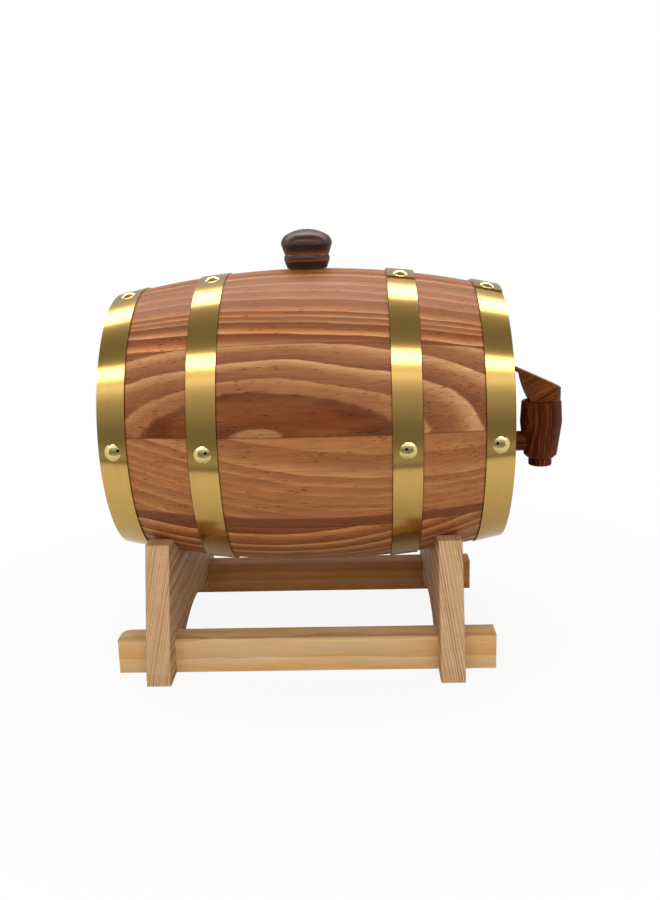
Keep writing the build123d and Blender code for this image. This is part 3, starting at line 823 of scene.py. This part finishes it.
# %% Bung and tap
# the bung's pale colour is the copper tone of its painted highlights
bung_wood = {
    "dark": "#1e0f0b", "middle": "#38201a", "pale": "#8a5638",
    "fibre": 0.2, "pit": 0.3, "pit_share": 0.85, "streak": 0.3,
    "rough": 0.35, "bump": 0.25, "shine": 0.28, "coat": 0.0,
}
tap_wood = {
    "dark": "#2c1208", "middle": "#582a0e", "pale": "#743c1a",
    "fibre": 0.3, "pit": 0.6, "pit_share": 0.7, "streak": 0.5,
    "rough": 0.45, "bump": 0.3, "shine": 0.06, "coat": 0.0,
}
key_wood = {**tap_wood, "dark": "#45200c", "middle": "#6e3a18", "pale": "#925628"}
upright, slanted = (0, radians(90), 0), (0, radians(30), 0)
# each piece's finish, the turn of its grain, the side of its bark in degrees, and its cut
turned = {
    "bung": (
        bung_wood, along_cask, 0,
        dict(
            side=0.0, face=1.0, wander=1.2, ripple=0.5,
            # these rings put their pale bands at the heights where the polish catches the lamps: painted
            # highlights
            rings=[(-26, 0.4), (-19.5, 0.0), (-12, 0.9), (-4.9, 0.8), (-0.6, 0.3), (6, 0.5)],
        ),
    ),
    "tap_body": (tap_wood, upright, 64, dict(seed=12, width=2.6, wander=1.8, ripple=1.0)),
    "tap_shank": (tap_wood, along_cask, 30, dict(seed=5, width=2.4)),
    "tap_key": (
        key_wood, slanted, 75, dict(seed=9, width=4.4, wander=2.6, tints=("#fffaf4", "#fff0e0")),
    ),
}


def dress_boards(prefix, boards):
    for name, (finish, grain_turn, bark, cut) in boards.items():
        low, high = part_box(name)
        material = wood(
            f"{prefix}_{name}", finish, place=(low + high) / 2, grain_turn=grain_turn,
            bark_turn=radians(bark), cut=cut,
        )
        dress([name], material)


dress_boards("dark_turned_wood", turned)
print(len(turned), "turned pieces")

# %% [markdown]
# ## Pale pine
# The stand is planed pine with no finish: pale yellow-tan earlywood with darker latewood lines.
# The cradle boards have narrow rings, and the rails, sawn flatter, show a few broad ones. The back
# rail's tints make it darker and browner: painted shade, for the shade of the cask that it stands in.

# %% Stand
pine = {
    "dark": "#c69c6b", "middle": "#d5b587", "pale": "#dec196",
    "fibre": 0.06, "pit": 0.15, "pit_share": 0.93, "streak": 0.05,
    "rough": 0.6, "bump": 0.25, "shine": 0.3, "coat": 0.0,
}
striped_pine = {**pine, "dark": "#8c5c2c", "middle": "#ccab83", "pale": "#dfc5a2"}
cradle_cut = dict(width=1.4, wander=0.8, ripple=0.3)
boards = {
    "left_cradle": (
        striped_pine, across_cask, -10, dict(cradle_cut, seed=21, tints=("#fffaf8", "#ffeedc"))
    ),
    "right_cradle": (
        striped_pine, across_cask, 9, dict(cradle_cut, seed=22, tints=("#fffaf8", "#fff0e0"))
    ),
    "front_rail": (
        pine, along_cask, 75, dict(seed=23, width=9.0, wander=4.0, tints=("#ffffff", "#ffedcc"))
    ),
    # its dark tints are painted shade from the cask above it
    "back_rail": (
        pine, along_cask, 118, dict(seed=24, width=6.0, wander=3.0, tints=("#cfb08c", "#c8a680"))
    ),
}
dress_boards("planed_pine", boards)
print(len(boards), "boards in the stand")

# %% [markdown]
# ## Brass
# The hoops are brass strip, brushed along its length, so fine lines run round the cask. Real lines
# are about 0.1 mm apart, too fine to show, so they are drawn about 0.5 mm apart. They change the
# tone and the roughness a little from line to line. The nail heads are the same brass, polished
# to a mirror, with hardly a line left.

# %% Brass
brush_pitch, brush_run = 0.5, 0.83333  # mm from line to line, and radians that a line runs round
rough_swing = 0.25
brush_tones = [(0.3, "#bf9a52"), (0.7, "#d2ae66")]


def brass(name, roughness, brushed, polished):
    material, tree = new_material(name)
    coords = add_node(tree, "ShaderNodeTexCoord")
    centred = add_node(
        tree, "ShaderNodeMapping", {"Location": [-v * mm for v in cask_middle], "Scale": (mm, mm, mm)},
        {"Vector": coords.outputs["Object"]},
    )
    parts = add_node(tree, "ShaderNodeSeparateXYZ", {}, {0: centred})
    around = add_node(
        tree, "ShaderNodeMath", {"operation": "ARCTAN2"}, {0: parts.outputs["Z"], 1: parts.outputs["Y"]}
    )
    strip = add_node(tree, "ShaderNodeCombineXYZ", {}, {"X": parts.outputs["X"], "Y": around})
    scaled = add_node(
        tree, "ShaderNodeMapping", {"Scale": (1 / brush_pitch, 1 / brush_run, 1.0)}, {"Vector": strip}
    )
    lines = add_node(
        tree, "ShaderNodeTexNoise", {"Scale": 1.0, "Detail": 3.0, "Roughness": 0.6}, {"Vector": scaled}
    )
    tone = add_node(tree, "ShaderNodeValToRGB", {"stops": brush_tones}, {"Fac": lines})
    colour = add_node(
        tree, "ShaderNodeMix", {"data_type": "RGBA", 0: brushed, 6: linear(polished)}, {7: tone}
    ).outputs[2]
    swing = rough_swing * brushed
    rough = add_node(
        tree, "ShaderNodeMapRange",
        {"From Min": noise_low, "From Max": noise_high,
         "To Min": roughness * (1 + swing), "To Max": roughness * (1 - swing)},
        {"Value": lines},
    )
    surface = add_node(
        tree, "ShaderNodeBsdfPrincipled", {"Metallic": 1.0}, {"Base Color": colour, "Roughness": rough}
    )
    add_node(tree, "ShaderNodeOutputMaterial", {}, {"Surface": surface})
    return material


nail_names = [name.replace("hoop", "nails") for name in hoop_names]
dress(hoop_names, brass("brushed_brass_strip", roughness=0.15, brushed=0.35, polished="#c9a45c"))
dress(nail_names, brass("polished_brass_nails", roughness=0.07, brushed=0.1, polished="#d6c486"))
print(len(hoop_names), "hoops and", len(nail_names), "sets of nails")
